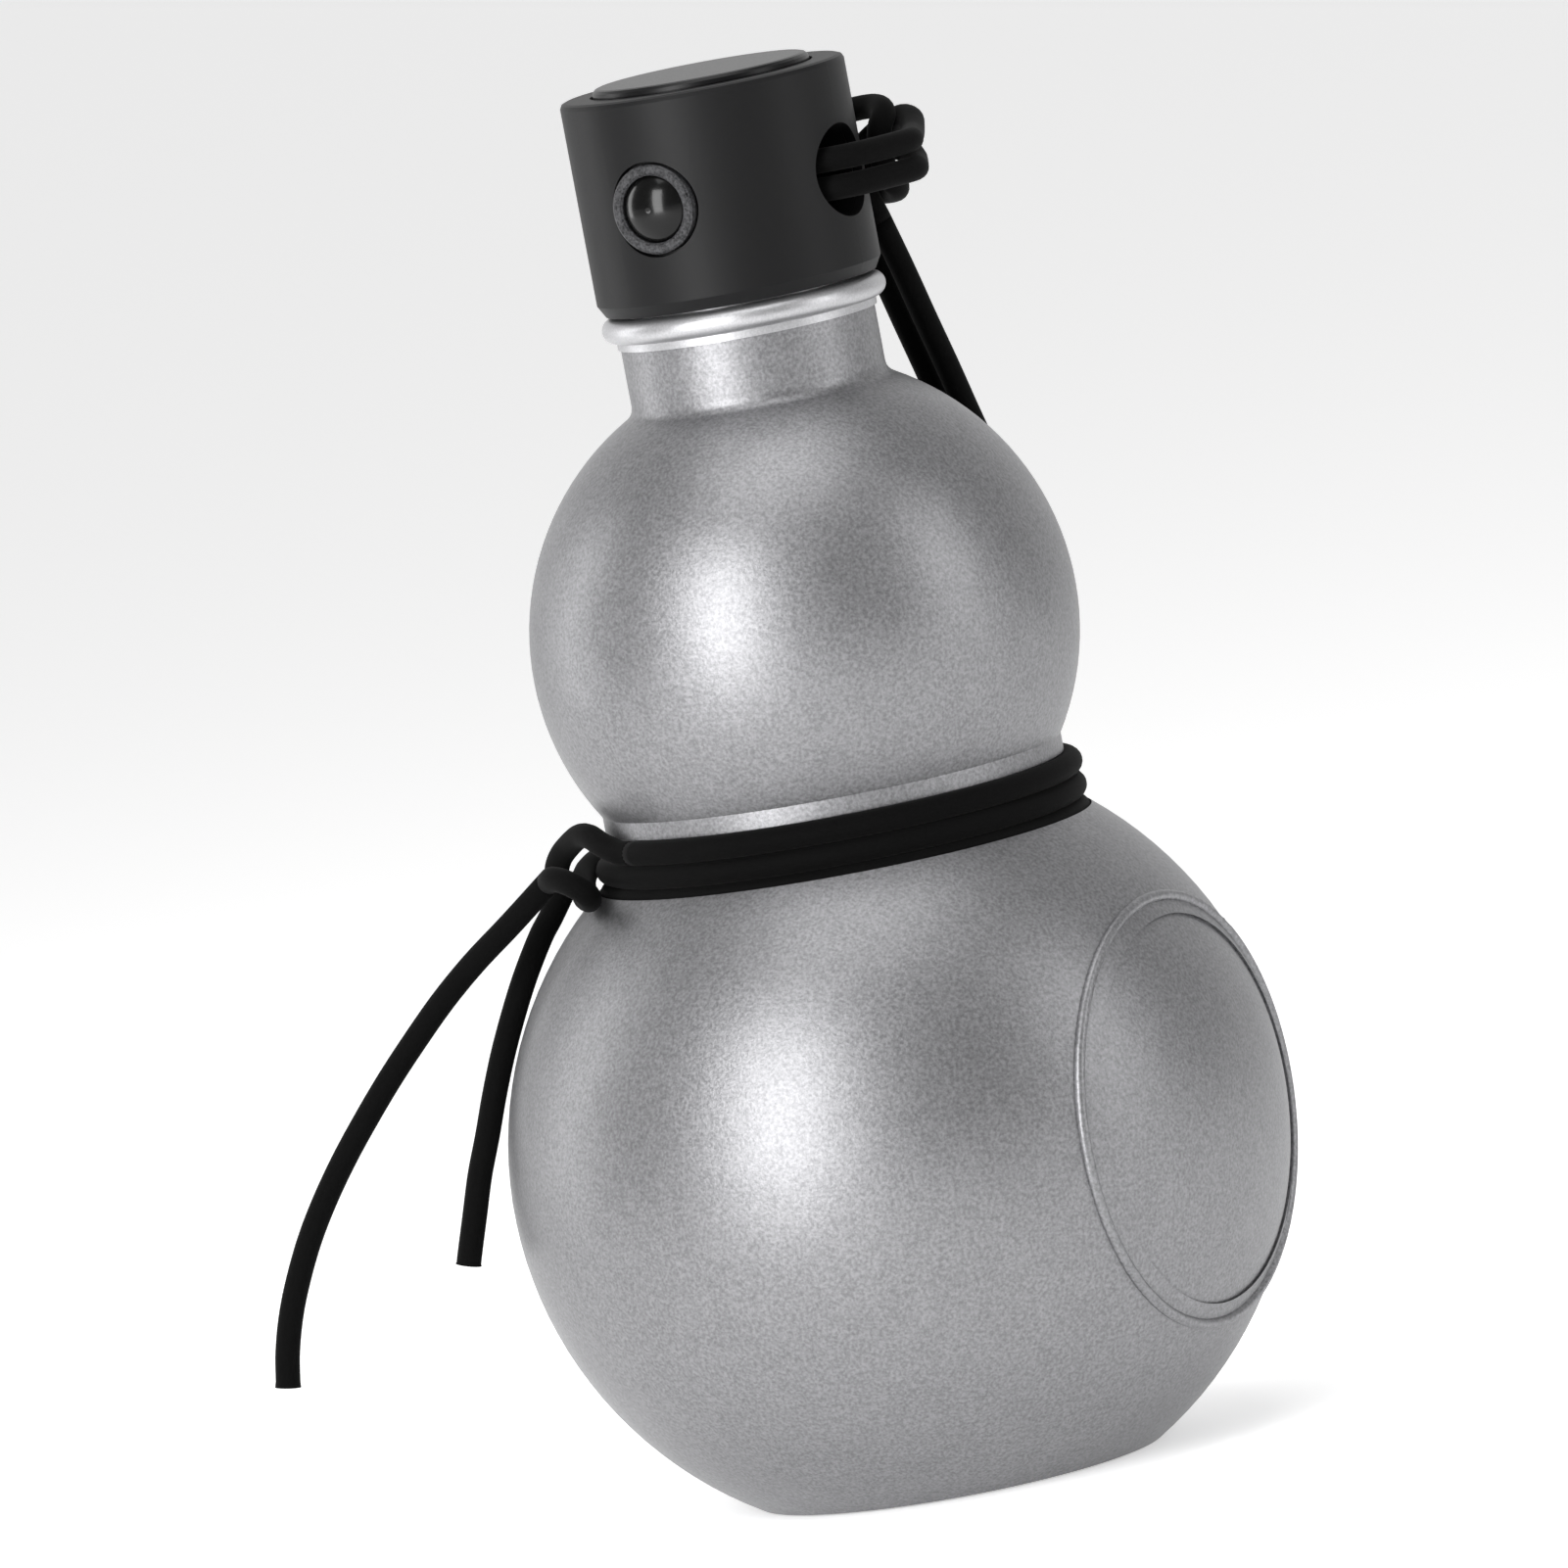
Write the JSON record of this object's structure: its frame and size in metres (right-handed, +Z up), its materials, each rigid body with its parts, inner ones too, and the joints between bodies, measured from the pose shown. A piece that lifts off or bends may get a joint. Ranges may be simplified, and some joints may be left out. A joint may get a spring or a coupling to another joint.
{
  "type": "gourd water bottle",
  "caption": "Gourd-shaped metal water bottle: two balls with a cord-wound waist, and a quick-thread screw cap that holds a push-button cord lock and leash.",
  "frame": {"origin": "centre of the flat base, on the surface that the bottle stands on", "axes": "+Z up along the bottle's axis; the push button faces -Y; the cord passes through the cap along X; the round medallion is on the +X side"},
  "size_m": [0.1272, 0.1038, 0.1888],
  "materials": {
    "blasted_metal": "bead-blasted matte grey",
    "neck_metal": "turned and finely blasted, brighter than the balls",
    "cap_black": "fine matte black",
    "disc_black": "satin black",
    "liner_plastic": "moulded black",
    "gasket_rubber": "translucent grey silicone",
    "lock_plastic": "moulded black",
    "plunger_plastic": "moulded black, smooth",
    "ring_black": "satin dark grey",
    "dome_gloss": "glossy black",
    "spring_steel": "drawn steel wire",
    "cord": "smooth round black cord"
  },
  "bodies": {
    "bottle": {"lower_ball": "blasted_metal", "upper_ball": "blasted_metal", "neck_ring": "neck_metal", "waist_winding": "cord", "waist_return": "cord", "waist_knot": "cord", "leash_lower": "cord", "tail_long": "cord", "tail_short": "cord"},
    "seal": {"sealing_gasket": "gasket_rubber"},
    "cap": {"cap_shell": "cap_black", "cap_liner": "liner_plastic", "cap_top_disc": "disc_black", "lock_block": "lock_plastic", "leash_upper": "cord", "cap_loop": "cord"},
    "button": {"lock_plunger": "plunger_plastic", "button_ring": "ring_black", "button_dome": "dome_gloss", "lock_spring": "spring_steel"}
  },
  "joints": [
    {"name": "cap_lift", "type": "slide", "parent": "bottle", "child": "seal", "axis": [0, 0, 1], "range_m": [0, 0.004], "deforming": ["leash_lower"]},
    {"name": "cap_turn", "type": "hinge", "parent": "seal", "child": "cap", "pos_m": [0, 0, 0.159], "axis": [0, 0, 1], "range_deg": [0, 90], "deforming": ["leash_upper"]},
    {"name": "button_press", "type": "slide", "parent": "cap", "child": "button", "axis": [0, 1, 0], "range_m": [0, 0.0025], "stiffness_N_per_m": 800, "springref_m": -0.004, "deforming": ["lock_spring"]}
  ],
  "couplings": [
    {"joint": "cap_lift", "follows": "cap_turn", "m_per_rad": 0.0025464}
  ]
}
